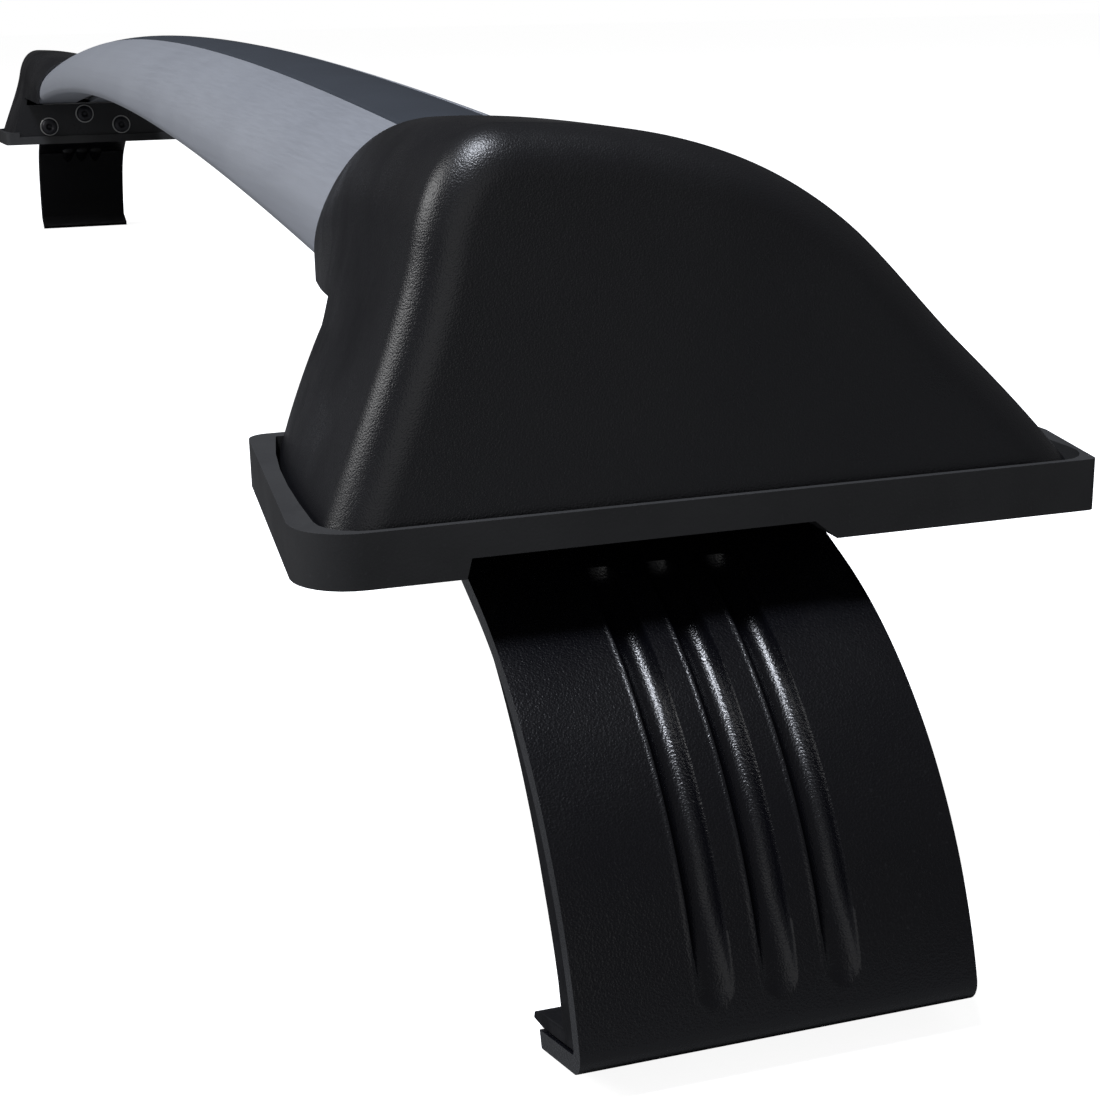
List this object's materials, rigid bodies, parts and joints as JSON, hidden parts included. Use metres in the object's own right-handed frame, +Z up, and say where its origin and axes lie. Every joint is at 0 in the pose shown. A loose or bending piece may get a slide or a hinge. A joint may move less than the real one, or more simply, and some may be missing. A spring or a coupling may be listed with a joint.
{
  "type": "roof rack crossbar",
  "caption": "Arched silver roof rack crossbar with a black rubber strip, fin-shaped black foot covers on rubber pads, and hooked clamp straps with pressed grooves.",
  "frame": {"origin": "mid span, middle of the depth, at the height of the hooks' lower edges that the rack stands on", "axes": "+X along the bar towards the near foot, +Y along the vehicle towards the covers' long ends, +Z up"},
  "size_m": [1.2004, 0.126, 0.1335],
  "materials": {
    "anodised_bar": "satin anodised",
    "strip_rubber": "matte",
    "cover_plastic": "fine moulded grain",
    "pad_rubber": "matte",
    "coated_steel": "black powder coat",
    "liner_rubber": "matte",
    "plated_steel": "zinc plated",
    "bolt_steel": "black zinc plated"
  },
  "bodies": {
    "rack": {"crossbar": "anodised_bar", "top_strip": "strip_rubber", "right_cover": "cover_plastic", "right_base_pad": "pad_rubber", "right_foot_bracket": "plated_steel", "right_bolt_washers": "plated_steel", "right_cover_screw": "bolt_steel", "right_nut_plate": "plated_steel", "right_bar_bolts": "bolt_steel", "right_bar_washers": "plated_steel", "left_cover": "cover_plastic", "left_base_pad": "pad_rubber", "left_foot_bracket": "plated_steel", "left_bolt_washers": "plated_steel", "left_cover_screw": "bolt_steel", "left_nut_plate": "plated_steel", "left_bar_bolts": "bolt_steel", "left_bar_washers": "plated_steel"},
    "right_clamp": {"right_clamp_strap": "coated_steel", "right_strap_liner": "liner_rubber", "right_clamp_nuts": "plated_steel"},
    "right_front_bolt": {"right_clamp_bolt_front": "bolt_steel"},
    "right_rear_bolt": {"right_clamp_bolt_rear": "bolt_steel"},
    "left_clamp": {"left_clamp_strap": "coated_steel", "left_strap_liner": "liner_rubber", "left_clamp_nuts": "plated_steel"},
    "left_front_bolt": {"left_clamp_bolt_front": "bolt_steel"},
    "left_rear_bolt": {"left_clamp_bolt_rear": "bolt_steel"}
  },
  "joints": [
    {"name": "right_clamp_slide", "type": "slide", "parent": "rack", "child": "right_clamp", "axis": [1, 0, 0], "range_m": [0, 0.01]},
    {"name": "right_front_bolt_turn", "type": "hinge", "parent": "rack", "child": "right_front_bolt", "pos_m": [0.52, -0.03055, 0.07489], "axis": [-1, 0, 0], "range_deg": [0, 3601]},
    {"name": "right_rear_bolt_turn", "type": "hinge", "parent": "rack", "child": "right_rear_bolt", "pos_m": [0.52, 0.01645, 0.07489], "axis": [-1, 0, 0], "range_deg": [0, 3601]},
    {"name": "left_clamp_slide", "type": "slide", "parent": "rack", "child": "left_clamp", "axis": [-1, 0, 0], "range_m": [0, 0.01]},
    {"name": "left_front_bolt_turn", "type": "hinge", "parent": "rack", "child": "left_front_bolt", "pos_m": [-0.52, -0.03055, 0.07489], "axis": [1, 0, 0], "range_deg": [0, 3601]},
    {"name": "left_rear_bolt_turn", "type": "hinge", "parent": "rack", "child": "left_rear_bolt", "pos_m": [-0.52, 0.01645, 0.07489], "axis": [1, 0, 0], "range_deg": [0, 3601]}
  ],
  "couplings": [
    {"joint": "right_front_bolt_turn", "follows": "right_clamp_slide", "rad_per_m": 6283.2},
    {"joint": "right_rear_bolt_turn", "follows": "right_clamp_slide", "rad_per_m": 6283.2},
    {"joint": "left_front_bolt_turn", "follows": "left_clamp_slide", "rad_per_m": 6283.2},
    {"joint": "left_rear_bolt_turn", "follows": "left_clamp_slide", "rad_per_m": 6283.2}
  ]
}
